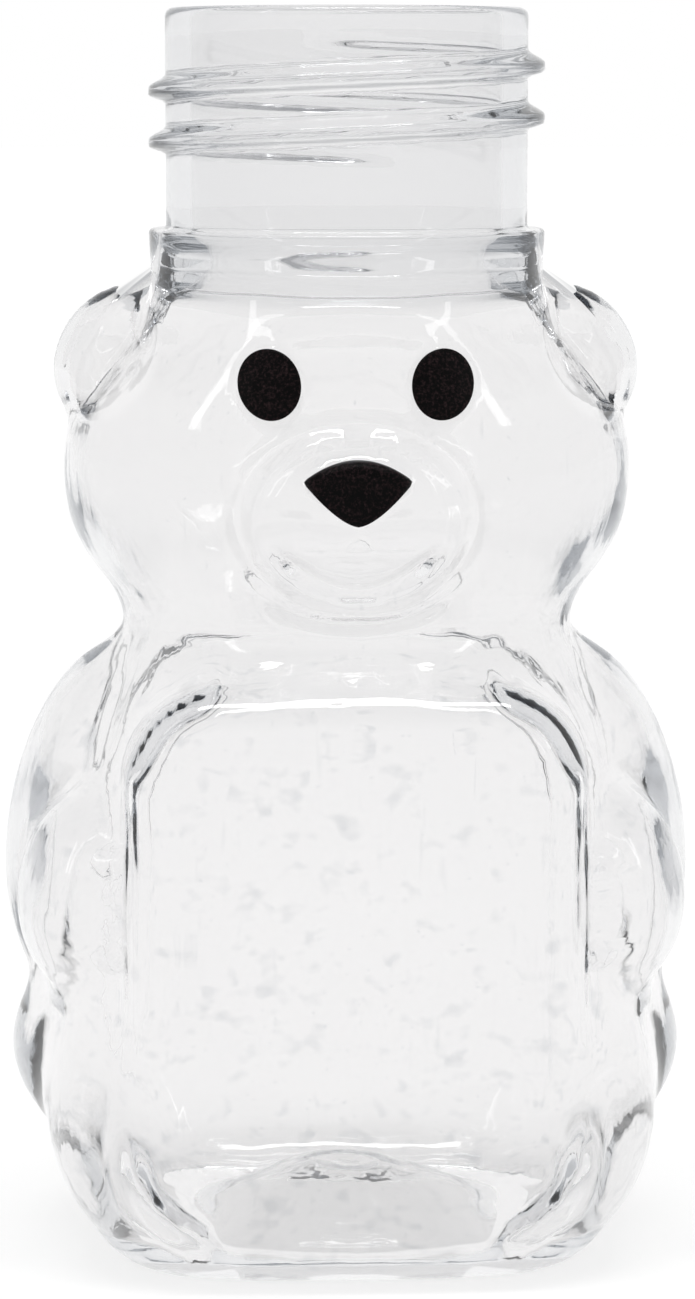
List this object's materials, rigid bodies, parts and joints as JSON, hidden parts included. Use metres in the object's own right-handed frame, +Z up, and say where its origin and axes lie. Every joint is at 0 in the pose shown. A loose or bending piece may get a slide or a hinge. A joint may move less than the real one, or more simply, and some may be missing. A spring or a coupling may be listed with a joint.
{
  "type": "honey bear bottle",
  "caption": "Small clear bottle blown as a sitting bear with black eyes and nose, flat panels front and back, and an open screw neck for a cap on top of the head.",
  "frame": {"origin": "centre of the base on the surface that the bottle stands on, below the neck's axis", "axes": "+Z up along the neck's axis, the bear looks along -Y, and +X is its left side"},
  "size_m": [0.0414, 0.032, 0.0736],
  "materials": {
    "clear_plastic": "clear glossy PET",
    "black_ink": "glossy black ink"
  },
  "bodies": {
    "root": {"bottle": "clear_plastic", "eye_left": "black_ink", "eye_right": "black_ink", "nose": "black_ink"}
  },
  "joints": []
}
